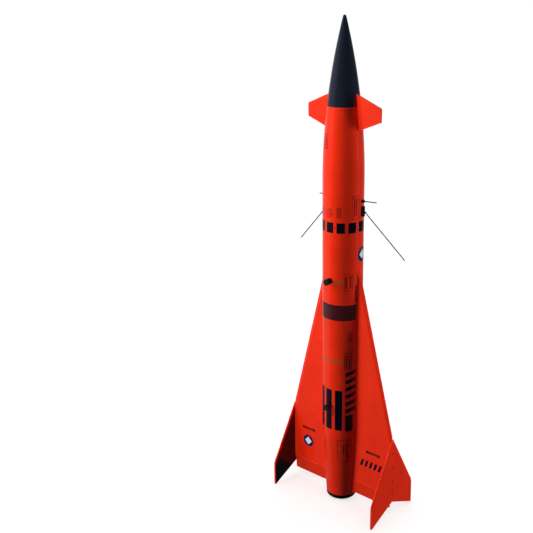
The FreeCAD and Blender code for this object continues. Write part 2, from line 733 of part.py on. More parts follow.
def antenna_long(side):
    x0 = BODY_R + LOWER_MOUNT_OUT
    start = V(x0 + ROOT_BALL_R * 0.8, 0, LOWER_MOUNT_Z - ROOT_BALL_DROP)
    end = V(LONG_ROD_END[0], 0, LONG_ROD_END[1])
    along = end.sub(start)
    rod = Part.makeCylinder(ROD_R, along.Length, start, along)
    tip = Part.makeSphere(ROD_R, end)
    outside = block((x0, -BODY_R, 0), (x0 + BODY_R, BODY_R, TOTAL_HEIGHT))
    root = Part.makeSphere(ROOT_BALL_R, start).common(outside)
    return turned_out(rod.fuse([tip, root]).removeSplitter(), side)


# ---------------------------------------------------------------- output
def main():
    os.makedirs("parts", exist_ok=True)
    save("nose_tip", nose_tip())
    save("nose_base", nose_base())
    save("nose_shoulder", nose_shoulder())
    save("nose_eyelet", nose_eyelet())
    save("nose_eyelet_nut", nose_eyelet_nut())
    save("nose_bulkhead", nose_bulkhead())
    save("nose_weight", nose_weight())
    save("nose_weight_screw", nose_weight_screw())
    save("body_tube", body_tube())
    save("tail_cone", tail_cone())
    save("shock_cord_mount", shock_cord_mount())
    save("parachute_pack", parachute_pack())
    save("motor_tube", motor_tube())
    save("thrust_ring", thrust_ring())
    for name in RING_Z:
        save("centering_ring_" + name, centering_ring(name))
    save("retainer_body", retainer_body())
    save("retainer_cap", retainer_cap())
    sided = {
        "canard": canard(),
        "wing": wing(),
        "wing_root_fairing": wing_root_fairing(),
        "elevon": elevon(),
        "tip_plate": tip_plate(),
        "tip_plate_pins": plate_pins(),
    }
    for name, shape in sided.items():
        save(name + "_right", shape)
        save(name + "_left", mirrored(shape))
    for name in BUTTON_Z:
        save("rail_button_" + name, rail_button(name))
    save("rail_button_screws", Part.makeCompound([rail_button_screw(n) for n in BUTTON_Z]))
    save("rail_button_nuts", Part.makeCompound([rail_button_nut(n) for n in BUTTON_Z]))
    for word, side in (("left", -1), ("right", 1)):
        save("antenna_mount_upper_" + word, antenna_mount_upper(side))
        save("antenna_mount_lower_" + word, antenna_mount_lower(side))
        save("antenna_short_" + word, antenna_short(side))
        save("antenna_long_" + word, antenna_long(side))


main()
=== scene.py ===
import math
import random

import bmesh
import bpy
from mathutils import Matrix, Vector, noise
from mathutils.bvhtree import BVHTree


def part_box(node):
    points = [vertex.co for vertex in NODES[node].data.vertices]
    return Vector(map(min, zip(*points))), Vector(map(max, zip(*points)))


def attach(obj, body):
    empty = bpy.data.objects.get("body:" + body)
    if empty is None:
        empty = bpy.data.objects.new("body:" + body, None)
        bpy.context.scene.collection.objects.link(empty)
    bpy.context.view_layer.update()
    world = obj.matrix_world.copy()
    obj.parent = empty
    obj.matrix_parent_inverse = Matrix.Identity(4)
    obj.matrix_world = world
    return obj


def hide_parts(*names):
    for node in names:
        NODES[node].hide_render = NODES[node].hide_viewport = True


# Looks of the model rocket: paint, print, bare paper, plywood, metal and the folded
# parachute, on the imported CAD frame. Lengths in the tables below are millimetres in the
# CAD frame, angles are degrees from the rail button side (-Y) towards the right wing (+X).

MM = 0.001
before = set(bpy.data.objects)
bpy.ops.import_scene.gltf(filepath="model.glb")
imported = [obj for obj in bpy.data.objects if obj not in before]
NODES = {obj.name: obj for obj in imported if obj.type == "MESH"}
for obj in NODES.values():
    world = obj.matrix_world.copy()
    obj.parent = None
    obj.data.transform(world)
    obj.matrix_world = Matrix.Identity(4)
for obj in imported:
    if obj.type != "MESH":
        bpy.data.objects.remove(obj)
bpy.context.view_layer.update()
TUBE_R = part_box("body_tube")[1].x / MM
WING_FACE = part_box("wing_right")[1].y / MM
PLATE_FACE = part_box("tip_plate_right")[0].x / MM


# ---------------------------------------------------------------- camera, light, floor
CAMERA_AZIMUTH = 37.894
CAMERA_DISTANCE = 1.2227
CAMERA_HEIGHT = 0.7702
CAMERA_YAW = 5.27
CAMERA_PITCH = 17.678
CAMERA_ROLL = -1.182
CAMERA_LENS = 58.708
WALL_GLOW = 0.032
# azimuth, elevation, half width and brightness of each soft panel in the studio
PANELS = (
    (218, 0, 60, 0.26),
    (-65, 0, 50, 0.18),
    (-125, 0, 42, 0.20),
    (0, 90, 45, 0.35),
)
WARM = (1, 0.99, 0.97)
# azimuth, distance, height, height aimed at, size, watts, colour, casts a shadow
LAMPS = {
    "key": (-38, 1.35, 0.95, 0.42, (0.55, 0.9), 9, WARM, True),
    "key_wrap": (-38, 1.35, 0.9, 0.42, (0.5, 0.9), 20, WARM, False),
    "fill": (122, 1.4, 0.4, 0.25, (0.6, 1.0), 18, (0.98, 0.99, 1), True),
    "back": (212, 1.5, 0.9, 0.4, (0.9, 1.2), 15, (1, 1, 1), True),
    "top": (-20, 0.2, 1.9, 0.3, (0.7, 0.7), 9, (1, 0.99, 0.98), True),
}
# strength and shadow of the two suns that only the floor receives
WASHES = {"wash": (2.7, False), "wash_shadow": (0.6, True)}
WASH_ANGLE = 60
FLOOR_REACH = 150


def turned(a, b, degrees):
    """The pair of directions a, b turned in their own plane, a away from b."""
    c = math.cos(math.radians(degrees))
    s = math.sin(math.radians(degrees))
    return a * c - b * s, b * c + a * s


def make_camera():
    a = math.radians(CAMERA_AZIMUTH)
    forward = Vector((-math.sin(a), math.cos(a), 0))
    right = Vector((math.cos(a), math.sin(a), 0))
    up = Vector((0, 0, 1))
    forward, right = turned(forward, right, CAMERA_YAW)
    forward, up = turned(forward, up, CAMERA_PITCH)
    up, right = turned(up, right, CAMERA_ROLL)
    data = bpy.data.cameras.new("camera")
    data.lens = CAMERA_LENS
    data.sensor_width = 36
    data.clip_end = 400
    camera = bpy.data.objects.new("camera", data)
    axes = Matrix((right, up, -forward)).transposed()
    place = Vector((math.sin(a), -math.cos(a), 0)) * CAMERA_DISTANCE
    place.z = CAMERA_HEIGHT
    camera.matrix_world = Matrix.Translation(place) @ axes.to_4x4()
    bpy.context.collection.objects.link(camera)
    bpy.context.scene.camera = camera


def softbox(name, azimuth, distance, height, aim, size, energy, colour, shadow):
    """A rectangular area light that looks at height aim on the long axis."""
    data = bpy.data.lights.new(name, "AREA")
    data.shape = "RECTANGLE"
    data.size, data.size_y = size
    data.energy = energy
    data.color = colour
    data.use_shadow = shadow
    lamp = bpy.data.objects.new(name, data)
    a = math.radians(azimuth)
    lamp.location = (distance * math.sin(a), -distance * math.cos(a), height)
    look = Vector((0, 0, aim)) - lamp.location
    lamp.rotation_euler = look.to_track_quat("-Z", "Y").to_euler()
    lamp.visible_glossy = False
    bpy.context.collection.objects.link(lamp)
    return lamp


def make_lights(floor):
    """A soft key from the front left and a soft fill from behind on the right, which pass
    the floor by, and a wash that only the floor receives, so that it stays pale."""
    spared = bpy.data.collections.new("spared_by_lamps")
    spared.objects.link(floor)
    spared.collection_objects[0].light_linking.link_state = "EXCLUDE"
    for name, settings in LAMPS.items():
        lamp = softbox(name, *settings)
        lamp.light_linking.receiver_collection = spared
    lit = bpy.data.collections.new("lit_by_wash")
    lit.objects.link(floor)
    for name, (energy, shadow) in WASHES.items():
        sun = bpy.data.lights.new(name, "SUN")
        sun.energy = energy
        sun.angle = math.radians(WASH_ANGLE)
        sun.use_shadow = shadow
        lamp = bpy.data.objects.new(name, sun)
        bpy.context.collection.objects.link(lamp)
        lamp.light_linking.receiver_collection = lit


def make_world():
    """A dim studio with soft bright panels, and white behind whatever the camera sees."""
    world = bpy.data.worlds.new("studio")
    world.use_nodes = True
    bpy.context.scene.world = world
    tree = world.node_tree
    coords = tree.nodes.new("ShaderNodeTexCoord").outputs["Generated"]
    strength = WALL_GLOW
    for azimuth, elevation, edge, glow in PANELS:
        toward = tree.nodes.new("ShaderNodeVectorMath")
        toward.operation = "DOT_PRODUCT"
        a, e = math.radians(azimuth), math.radians(elevation)
        level = math.cos(e)
        direction = (level * math.sin(a), -level * math.cos(a), math.sin(e))
        toward.inputs[1].default_value = direction
        tree.links.new(coords, toward.inputs[0])
        ramp = tree.nodes.new("ShaderNodeMapRange")
        ramp.interpolation_type = "SMOOTHSTEP"
        ramp.inputs["From Min"].default_value = math.cos(math.radians(edge))
        ramp.inputs["From Max"].default_value = 1
        ramp.inputs["To Min"].default_value = 0
        ramp.inputs["To Max"].default_value = glow
        tree.links.new(toward.outputs["Value"], ramp.inputs["Value"])
        total = tree.nodes.new("ShaderNodeMath")
        tree.links.new(ramp.outputs["Result"], total.inputs[0])
        if isinstance(strength, float):
            total.inputs[1].default_value = strength
        else:
            tree.links.new(strength, total.inputs[1])
        strength = total.outputs[0]
    path = tree.nodes.new("ShaderNodeLightPath")
    seen = tree.nodes.new("ShaderNodeMath")
    seen.operation = "MAXIMUM"
    tree.links.new(path.outputs["Is Camera Ray"], seen.inputs[0])
    tree.links.new(strength, seen.inputs[1])
    tree.links.new(seen.outputs[0], tree.nodes["Background"].inputs["Strength"])
    tree.nodes["Background"].inputs["Color"].default_value = (1, 1, 1, 1)


# ---------------------------------------------------------------- node helpers
class Look:
    """One material and short ways to add the nodes that feed its Principled shader."""

    def __init__(self, name, **sockets):
        self.material = bpy.data.materials.new(name)
        self.material.use_nodes = True
        self.tree = self.material.node_tree
        self.shader = self.tree.nodes["Principled BSDF"]
        for socket, value in sockets.items():
            self.shader.inputs[socket.replace("_", " ")].default_value = value
        coords = self.tree.nodes.new("ShaderNodeTexCoord")
        self.place = coords.outputs["Object"]

    def feed(self, socket, value):
        if isinstance(value, bpy.types.NodeSocket):
            self.tree.links.new(value, socket)
        else:
            socket.default_value = value

    def math(self, operation, *values):
        made = self.tree.nodes.new("ShaderNodeMath")
        made.operation = operation
        for socket, value in zip(made.inputs, values):
            self.feed(socket, value)
        return made.outputs[0]

    def noise(self, scale, detail=3.0, rough=0.5, stretch=(1, 1, 1)):
        made = self.tree.nodes.new("ShaderNodeTexNoise")
        made.inputs["Scale"].default_value = scale
        made.inputs["Detail"].default_value = detail
        made.inputs["Roughness"].default_value = rough
        self.feed(made.inputs["Vector"], self.stretched(stretch))
        return made.outputs["Fac"]

    def stretched(self, stretch):
        if tuple(stretch) == (1, 1, 1):
            return self.place
        made = self.tree.nodes.new("ShaderNodeVectorMath")
        made.operation = "MULTIPLY"
        made.inputs[1].default_value = stretch
        self.feed(made.inputs[0], self.place)
        return made.outputs[0]

    def fit(self, value, low, high, to_low, to_high):
        made = self.tree.nodes.new("ShaderNodeMapRange")
        for name, number in (
            ("Value", value),
            ("From Min", low),
            ("From Max", high),
            ("To Min", to_low),
            ("To Max", to_high),
        ):
            self.feed(made.inputs[name], number)
        return made.outputs["Result"]

    def mix(self, share, a, b):
        made = self.tree.nodes.new("ShaderNodeMix")
        made.data_type = "RGBA"
        self.feed(made.inputs["Factor"], share)
        for socket, value in ((made.inputs[6], a), (made.inputs[7], b)):
            self.feed(socket, (*value, 1) if isinstance(value, tuple) else value)
        return made.outputs[2]

    def axes(self):
        made = self.tree.nodes.new("ShaderNodeSeparateXYZ")
        self.feed(made.inputs[0], self.place)
        return made.outputs

    def radius(self):
        x, y, _ = self.axes()
        squares = (self.math("MULTIPLY", x, x), self.math("MULTIPLY", y, y))
        return self.math("SQRT", self.math("ADD", *squares))

    def spiral(self, turns_per_metre):
        """Distance from a wound tube's seam, 0 on it and 0.5 half a turn away."""
        x, y, z = self.axes()
        turn = self.math("DIVIDE", self.math("ARCTAN2", x, y), 2 * math.pi)
        climb = self.math("ADD", self.math("MULTIPLY", z, turns_per_metre), turn)
        return self.math("ABSOLUTE", self.math("SUBTRACT", self.math("FRACT", climb), 0.5))

    def facing(self):
        """The x, y and z parts of the surface's own direction."""
        normal = self.tree.nodes.new("ShaderNodeNewGeometry").outputs["True Normal"]
        parts = self.tree.nodes.new("ShaderNodeSeparateXYZ")
        self.feed(parts.inputs[0], normal)
        return parts.outputs

    def colour(self, value):
        self.feed(self.shader.inputs["Base Color"], value)

    def base(self):
        """The node output that now gives the base colour."""
        return self.shader.inputs["Base Color"].links[0].from_socket

    def rough(self, value):
        self.feed(self.shader.inputs["Roughness"], value)

    def bump(self, height, depth, strength=1.0):
        """Adds a bump of that depth in metres under the ones already there."""
        made = self.tree.nodes.new("ShaderNodeBump")
        made.inputs["Strength"].default_value = strength
        made.inputs["Distance"].default_value = depth
        self.feed(made.inputs["Height"], height)
        if self.shader.inputs["Normal"].links:
            self.feed(made.inputs["Normal"], self.shader.inputs["Normal"].links[0].from_socket)
        self.feed(self.shader.inputs["Normal"], made.outputs["Normal"])


def scaled(colour, factor):
    return tuple(min(1.0, c * factor) for c in colour)


RED = (0.86, 0.026, 0.004)
BLACK = (0.009, 0.013, 0.024)
KRAFT = (0.46, 0.30, 0.16)
PLATE_NAVY = (0.0003, 0.0015, 0.017)
PLY_PALE, PLY_DARK = (0.66, 0.47, 0.27), (0.42, 0.26, 0.12)
# depths below the tube's skin (mm) between which paint gives way to bare paper
PAPER_STARTS = (0.7, 0.4)
# heights above a plate's inner face (mm) between which the dark paint ends
DARK_FACE_ENDS = (0.08, 0.16)
TUBE_SEAMS, KRAFT_SEAMS = 11.5, 21.0
THREADS_PER_METRE = 2500
RIPSTOP_CELL = 0.005


# ---------------------------------------------------------------- materials
def paint(name, colour, rough=0.36, coat=1.0, peel=1.0):
    """Sprayed gloss paint: soft blotches, fine dust in the clear coat, orange peel."""
    look = Look(
        name, Coat_Weight=coat, Coat_Roughness=0.05, Coat_IOR=1.5, Specular_IOR_Level=0.25
    )
    cloud = look.noise(28, 4, 0.55)
    speck = look.noise(2600, 2, 0.6)
    blotch = look.fit(cloud, 0.3, 0.7, 0, 1)
    tone = look.mix(blotch, scaled(colour, 0.91), scaled(colour, 1.07))
    look.colour(look.mix(look.fit(speck, 0.66, 0.8, 0, 0.35), tone, scaled(colour, 0.72)))
    look.rough(look.fit(look.noise(900, 3), 0.3, 0.7, rough - 0.06, rough + 0.08))
    look.bump(look.noise(420, 2, 0.4), 0.00012, 0.25 * peel)
    look.bump(look.noise(70, 2, 0.5), 0.0006, 0.06 * peel)
    return look


def tube_paint():
    """Painted outside, bare kraft paper inside, and the tube's spiral seam."""
    look = paint("paint_tube", RED)
    groove = look.spiral(TUBE_SEAMS)
    look.bump(look.fit(groove, 0.0, 0.012, 0.0, 1.0), 0.00005, 0.35)
    deep, shallow = ((TUBE_R - depth) * MM for depth in PAPER_STARTS)
    inside = look.fit(look.radius(), deep, shallow, 1, 0)
    fibre = look.noise(900, 4, 0.6, (1, 1, 0.25))
    paper = look.mix(fibre, scaled(KRAFT, 0.8), scaled(KRAFT, 1.15))
    seam = look.fit(groove, 0.0, 0.01, 0.45, 0.0)
    paper = look.mix(seam, paper, scaled(KRAFT, 0.35))
    look.colour(look.mix(inside, look.base(), paper))
    return look


def wood_paint(name):
    """Paint over a balsa or plywood sheet whose grain still shows a little."""
    look = paint(name, RED, 0.38)
    look.bump(look.noise(260, 3, 0.6, (1, 1, 0.08)), 0.0001, 0.10)
    return look


def canard_paint_with_painted_shade():
    """Red, with near-black painted shade on the leading edge faces that look up."""
    look = paint("paint_canard", RED)
    _, across, up = look.facing()
    # painted shade: faces that look up and not sideways, along the leading edge, are turned
    # near black
    edge = look.fit(look.math("ABSOLUTE", across), 0.6, 0.9, 1, 0)
    edge = look.math("MULTIPLY", edge, look.fit(up, 0.2, 0.4, 0, 1))
    look.colour(look.mix(edge, look.base(), BLACK))
    return look


def plate_paint():
    """Red outside and on the edges, navy black on the face that looks at the body."""
    look = paint("paint_tip_plate", RED, 0.36, 0.7)
    x, _, _ = look.axes()
    dark, red = ((PLATE_FACE + height) * MM for height in DARK_FACE_ENDS)
    inner = look.fit(look.math("ABSOLUTE", x), dark, red, 1, 0)
    look.colour(look.mix(inner, look.base(), PLATE_NAVY))
    return look


def moulded(name, colour, rough):
    """Moulded plastic with a fine spark-eroded grain and faint flow marks."""
    look = Look(name, Specular_IOR_Level=0.35)
    flow = look.noise(45, 3, 0.6, (1, 1, 0.3))
    streak = look.fit(flow, 0.3, 0.7, 0, 1)
    look.colour(look.mix(streak, scaled(colour, 0.8), scaled(colour, 1.3)))
    look.rough(look.fit(look.noise(1500, 2), 0.3, 0.7, rough - 0.08, rough + 0.1))
    look.bump(look.noise(2400, 2, 0.6), 0.00006, 0.3)
    return look


def kraft(name):
    """Bare spiral-wound kraft paper with its fibres and its seam."""
    look = Look(name, Specular_IOR_Level=0.25)
    fibre = look.noise(1100, 4, 0.65, (1, 1, 0.3))
    seam = look.spiral(KRAFT_SEAMS)
    paper = look.mix(fibre, scaled(KRAFT, 0.78), scaled(KRAFT, 1.2))
    look.colour(look.mix(look.fit(seam, 0.0, 0.02, 0.5, 0.0), paper, scaled(KRAFT, 0.4)))
    look.rough(look.fit(fibre, 0.3, 0.7, 0.7, 0.9))
    look.bump(fibre, 0.00008, 0.5)
    look.bump(look.fit(seam, 0.0, 0.02, 0.0, 1.0), 0.0001, 0.6)
    return look


def plywood(name):
    """Birch plywood: wavy grain on the faces, glue lines and plies on the edges."""
    look = Look(name, Specular_IOR_Level=0.25)
    _, _, z = look.axes()
    grain = look.noise(140, 5, 0.65, (0.12, 1, 1))
    face = look.mix(look.fit(grain, 0.35, 0.68, 0, 1), PLY_PALE, PLY_DARK)
    ply = look.math("FRACT", look.math("MULTIPLY", z, 1 / MM))
    off_centre = look.math("ABSOLUTE", look.math("SUBTRACT", ply, 0.5))
    line = look.fit(off_centre, 0.34, 0.5, 0, 0.5)
    upright = look.facing()[2]
    side = look.fit(look.math("ABSOLUTE", upright), 0.2, 0.5, 1, 0)
    look.colour(look.mix(look.math("MULTIPLY", line, side), face, scaled(PLY_DARK, 0.5)))
    look.rough(look.fit(grain, 0.3, 0.7, 0.6, 0.8))
    look.bump(grain, 0.0001, 0.3)
    return look


def metal(name, colour, rough):
    """Plated steel with a cloudy tone and fine upright scratches."""
    look = Look(name, Metallic=0.8)
    cloud = look.noise(120, 4, 0.6)
    look.colour(look.mix(cloud, scaled(colour, 0.82), scaled(colour, 1.12)))
    smear = look.noise(1800, 3, 0.6, (1, 1, 0.2))
    look.rough(look.fit(smear, 0.3, 0.7, rough - 0.1, rough + 0.14))
    look.bump(look.noise(1500, 3, 0.6, (1, 1, 0.15)), 0.00003, 0.3)
    return look


def wire(name):
    """Dark painted spring wire."""
    look = Look(name, Specular_IOR_Level=0.35)
    cloud = look.noise(500, 3)
    look.colour(look.mix(cloud, (0.006, 0.007, 0.011), (0.014, 0.014, 0.02)))
    look.rough(look.fit(cloud, 0.3, 0.7, 0.25, 0.45))
    look.bump(look.noise(3000, 2), 0.00002, 0.3)
    return look


def nylon(name, colour):
    """Ripstop nylon: fine weave with a heavier thread every few millimetres."""
    look = Look(name, Specular_IOR_Level=0.35, Sheen_Weight=0.35, Sheen_Roughness=0.35)
    uv = look.tree.nodes.new("ShaderNodeUVMap")
    uv.uv_map = "cloth"
    split = look.tree.nodes.new("ShaderNodeSeparateXYZ")
    look.feed(split.inputs[0], uv.outputs[0])
    weave = []
    rip = []
    for axis in split.outputs[:2]:
        thread = look.math("SINE", look.math("MULTIPLY", axis, 2 * math.pi * THREADS_PER_METRE))
        weave.append(look.math("ABSOLUTE", thread))
        near = look.math("PINGPONG", axis, RIPSTOP_CELL / 2)
        rip.append(look.fit(near, 0.0, 0.00025, 1, 0))
    thread = look.math("MAXIMUM", rip[0], rip[1])
    cloud = look.noise(60, 4, 0.6)
    tone = look.mix(cloud, scaled(colour, 0.85), scaled(colour, 1.1))
    look.colour(look.mix(look.math("MULTIPLY", thread, 0.35), tone, scaled(colour, 0.6)))
    look.rough(look.fit(cloud, 0.3, 0.7, 0.45, 0.62))
    look.bump(look.math("MULTIPLY", weave[0], weave[1]), 0.00008, 0.25)
    look.bump(thread, 0.00015, 0.5)
    return look


def print_ink(name, colour, coat=1.0):
    """A printed decal under the clear coat, with slightly uneven ink."""
    look = Look(name, Coat_Weight=coat, Coat_Roughness=0.06, Specular_IOR_Level=0.25)
    cloud = look.noise(90, 3, 0.6)
    dots = look.noise(3200, 2, 0.5)
    tone = look.mix(cloud, scaled(colour, 0.85), scaled(colour, 1.12))
    look.colour(look.mix(look.fit(dots, 0.6, 0.75, 0, 0.3), tone, scaled(colour, 0.6)))
    look.rough(look.fit(dots, 0.3, 0.7, 0.29, 0.42))
    look.bump(look.noise(400, 2), 0.0001, 0.1)
    return look


def floor_look():
    """Plain pale floor with the faintest change of tone."""
    look = Look("floor", Specular_IOR_Level=0.2)
    tone = look.noise(3, 3)
    look.colour(look.mix(tone, (0.86, 0.86, 0.86), (0.89, 0.89, 0.89)))
    look.rough(look.fit(tone, 0.3, 0.7, 0.75, 0.85))
    return look


LOOKS = {
    "tube": tube_paint(),
    "red": paint("paint_red", RED),
    "black": paint("paint_black", BLACK, 0.30, 1.0, 1.6),
    "wing": wood_paint("paint_wing"),
    "plate": plate_paint(),
    "canard": canard_paint_with_painted_shade(),
    "plastic": moulded("plastic_black", (0.005, 0.006, 0.009), 0.36),
    "shoulder": moulded("plastic_shoulder", (0.03, 0.03, 0.034), 0.5),
    "kraft": kraft("kraft"),
    "plywood": plywood("plywood"),
    "zinc": metal("zinc", (0.62, 0.62, 0.60), 0.32),
    "screw": metal("screw", (0.10, 0.10, 0.105), 0.34),
    "wire": wire("wire"),
    "nylon": nylon("nylon", (0.80, 0.10, 0.02)),
    "ink_black": print_ink("ink_black", (0.0006, 0.0013, 0.009), 0.5),
    "ink_maroon": print_ink("ink_maroon", (0.062, 0.0065, 0.012)),
    "ink_green": print_ink("ink_green", (0.008, 0.15, 0.04)),
    "ink_faint": print_ink("ink_faint", (0.55, 0.018, 0.004)),
    "ink_blue": print_ink("ink_blue", (0.003, 0.012, 0.12)),
    "ink_white": print_ink("ink_white", (0.80, 0.80, 0.78)),
    "ink_stencil": print_ink("ink_stencil", (0.03, 0.004, 0.006)),
    "floor": floor_look(),
}

NODE_LOOKS = {
    "nose_tip": "black",
    "nose_base": "red",
    "nose_shoulder": "shoulder",
    "nose_eyelet": "zinc",
    "nose_eyelet_nut": "zinc",
    "nose_bulkhead": "plywood",
    "nose_weight": "zinc",
    "nose_weight_screw": "zinc",
    "body_tube": "tube",
    "tail_cone": "red",
    "shock_cord_mount": "kraft",
    "parachute_pack": "nylon",
    "motor_tube": "kraft",
    "thrust_ring": "kraft",
    "centering_ring_aft": "plywood",
    "centering_ring_mid": "plywood",
    "centering_ring_forward": "plywood",
    "retainer_body": "plastic",
    "retainer_cap": "plastic",
    "rail_button_forward": "plastic",
    "rail_button_aft": "plastic",
    "rail_button_screws": "screw",
    "rail_button_nuts": "zinc",
    "canard": "canard",
    "wing": "wing",
    "wing_root_fairing": "red",
    "elevon": "red",
    "tip_plate": "plate",
    "tip_plate_pins": "ink_maroon",
    "antenna_mount_upper": "plastic",
    "antenna_mount_lower": "plastic",
    "antenna_short": "wire",
    "antenna_long": "wire",
}


def dress_nodes():
    for name, node in NODES.items():
        sideless = name.replace("_left", "").replace("_right", "")
        look = LOOKS[NODE_LOOKS.get(name) or NODE_LOOKS[sideless]]
        node.data.materials.clear()
        node.data.materials.append(look.material)


# ---------------------------------------------------------------- markings
LIFT = 0.07
SINK = 0.05
PROBE_REACH = 0.09
WINDOWS = 11
WINDOW_HALF = 11.5
WINDOW_START = -1.5
ROUNDEL_BODY = (104, 403.5)
ROUNDEL_WING = (66.3, 69.8)


def skin_profile():
    """Gives a function for the rocket's outer radius (mm) at height z (mm)."""
    trees = []
    for name in ("nose_tip", "nose_base", "body_tube", "tail_cone"):
        mesh = NODES[name].data
        points = [v.co.copy() for v in mesh.vertices]
        faces = [tuple(p.vertices) for p in mesh.polygons]
        trees.append(BVHTree.FromPolygons(points, faces))
    found = {}

    def radius(z):
        key = round(z, 2)
        if key not in found:
            best = 0.0
            for degrees in range(40, 62, 2):  # clear of the wings, canards and buttons
                a = math.radians(degrees)
                out = Vector((math.sin(a), -math.cos(a), 0))
                start = out * PROBE_REACH + Vector((0, 0, key * MM))
                for tree in trees:
                    hit = tree.ray_cast(start, -out)[0]
                    if hit is not None:
                        best = max(best, hit.to_2d().length / MM)
            found[key] = best
        return found[key]

    return radius


skin_r = skin_profile()


def on_body(u, v, lift):
    """The point lift mm above the body, at arc u (mm on the tube) and height v (mm)."""
    a = u / TUBE_R
    r = (skin_r(v) + lift) * MM
    return Vector((r * math.sin(a), -r * math.cos(a), v * MM))


def on_wing(face):
    """Like on_body, on the flat of a wing: face is -1 for the -Y face and 1 for +Y."""

    def place(u, v, lift):
        return Vector((u * MM, face * (WING_FACE + lift) * MM, v * MM))

    return place


def arc(degrees):
    return math.radians(degrees) * TUBE_R


def cut_grid(mesh, axis, step):
    values = [v.co[axis] for v in mesh.verts]
    normal = Vector((0, 0, 0))
    normal[axis] = 1
    low = math.floor(min(values) / step) + 1
    for i in range(low, math.ceil(max(values) / step)):
        geometry = mesh.verts[:] + mesh.edges[:] + mesh.faces[:]
        spot = normal * (i * step)
        bmesh.ops.bisect_plane(mesh, geom=geometry, plane_co=spot, plane_no=normal)


def decal(name, polygons, place, look, body, lift=LIFT, steps=(0.8, 5.0)):
    """Thin closed plates over the flat polygons, wrapped on to a surface by place."""
    flat = bmesh.new()
    for polygon in polygons:
        flat.faces.new([flat.verts.new((u, v, 0)) for u, v in polygon])
    for axis, step in enumerate(steps):
        if step:
            cut_grid(flat, axis, step)
    bmesh.ops.recalc_face_normals(flat, faces=flat.faces[:])
    flat.verts.ensure_lookup_table()
    flat.verts.index_update()
    count = len(flat.verts)
    points = [place(v.co.x, v.co.y, lift) for v in flat.verts]
    points += [place(v.co.x, v.co.y, -SINK) for v in flat.verts]
    faces = []
    for face in flat.faces:
        ring = [v.index for v in face.verts]
        if face.normal.z < 0:
            ring.reverse()
        faces.append(ring)
        faces.append([i + count for i in reversed(ring)])
    tops = {tuple(sorted(face)) for face in faces[::2]}
    rims = set()
    for edge in flat.edges:
        if len(edge.link_faces) == 1:
            ring = [v.index for v in edge.link_faces[0].verts]
            if edge.link_faces[0].normal.z < 0:
                ring.reverse()
            a, b = (v.index for v in edge.verts)
            if ring[(ring.index(a) + 1) % len(ring)] != b:
                a, b = b, a
            faces.append([b, a, a + count, b + count])
            rims.update({(min(a, b), max(a, b)), (min(a, b) + count, max(a, b) + count)})
    flat.free()
    mesh = bpy.data.meshes.new(name)
    mesh.from_pydata(points, [], faces)
    for polygon in mesh.polygons:
        polygon.use_smooth = tuple(sorted(polygon.vertices)) in tops
    for edge in mesh.edges:
        if tuple(sorted(edge.vertices)) in rims:
            edge.use_edge_sharp = True
    outward(mesh)
    piece = bpy.data.objects.new(name, mesh)
    bpy.context.collection.objects.link(piece)
    mesh.materials.append(LOOKS[look].material)
    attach(piece, body)


def outward(mesh):
    """Turns the faces of closed meshes outward."""
    work = bmesh.new()
    work.from_mesh(mesh)
    bmesh.ops.recalc_face_normals(work, faces=work.faces[:])
    work.to_mesh(mesh)
    work.free()


def rect(u0, u1, v0, v1):
    return [(u0, v0), (u1, v0), (u1, v1), (u0, v1)]


def outline(u0, u1, v0, v1, w=0.65, dash=0.0, gap=0.0):
    """The four sides of a box as thin strips, or as rows of dashes."""
    sides = [
        (u0, u1, v0, v0 + w, 0),
        (u0, u1, v1 - w, v1, 0),
        (u0, u0 + w, v0 + w, v1 - w, 1),
        (u1 - w, u1, v0 + w, v1 - w, 1),
    ]
    if not dash:
        return [rect(*side[:4]) for side in sides]
    made = []
    for a, b, c, d, upright in sides:
        low, high = (c, d) if upright else (a, b)
        count = max(1, round((high - low) / (dash + gap)))
        step = (high - low) / count
        for i in range(count):
            drawn = step * dash / (dash + gap)
            start = low + i * step + (step - drawn) / 2
            end = start + drawn
            made.append(rect(a, b, start, end) if upright else rect(start, end, c, d))
    return made


def dashes(along, start, end, centre, height, seed, mean=1.3, gap=0.5):
    """A row of short bars of mixed length from start to end, upright when along is 'v'."""
    rng = random.Random(seed)
    made = []
    at = start
    while at < end - 0.4:
        length = min(rng.uniform(0.6, 1.5) * mean, end - at)
        low, high = centre - height / 2, centre + height / 2
        if along == "v":
            made.append(rect(low, high, at, at + length))
        else:
            made.append(rect(at, at + length, low, high))
        at += length + gap * rng.uniform(0.8, 1.3)
    return made


def hatch(u0, u1, v0, v1, count, along):
    """A row of slanted bars that fills a box, running along u or v."""
    made = []
    low, high = (u0, u1) if along == "u" else (v0, v1)
    cross0, cross1 = (v0, v1) if along == "u" else (u0, u1)
    step = (high - low) / count
    for i in range(count):
        start = low + i * step
        bar = [
            (start, cross0),
            (start + 0.5 * step, cross0),
            (start + 0.95 * step, cross1),
            (start + 0.45 * step, cross1),
        ]
        made.append(bar if along == "u" else [(u, v) for v, u in bar])
    return made


def disc(u, v, r, count=48):
    turns = [2 * math.pi * i / count for i in range(count)]
    return [(u + r * math.cos(t), v + r * math.sin(t)) for t in turns]


def circle_line(u, v, r, w=0.6, count=28):
    """A thin ring as a set of short four-sided strips."""
    made = []
    for i in range(count):
        a, b = (2 * math.pi * k / count for k in (i, i + 1))
        made.append(
            [
                (u + (r - w) * math.cos(a), v + (r - w) * math.sin(a)),
                (u + r * math.cos(a), v + r * math.sin(a)),
                (u + r * math.cos(b), v + r * math.sin(b)),
                (u + (r - w) * math.cos(b), v + (r - w) * math.sin(b)),
            ]
        )
    return made


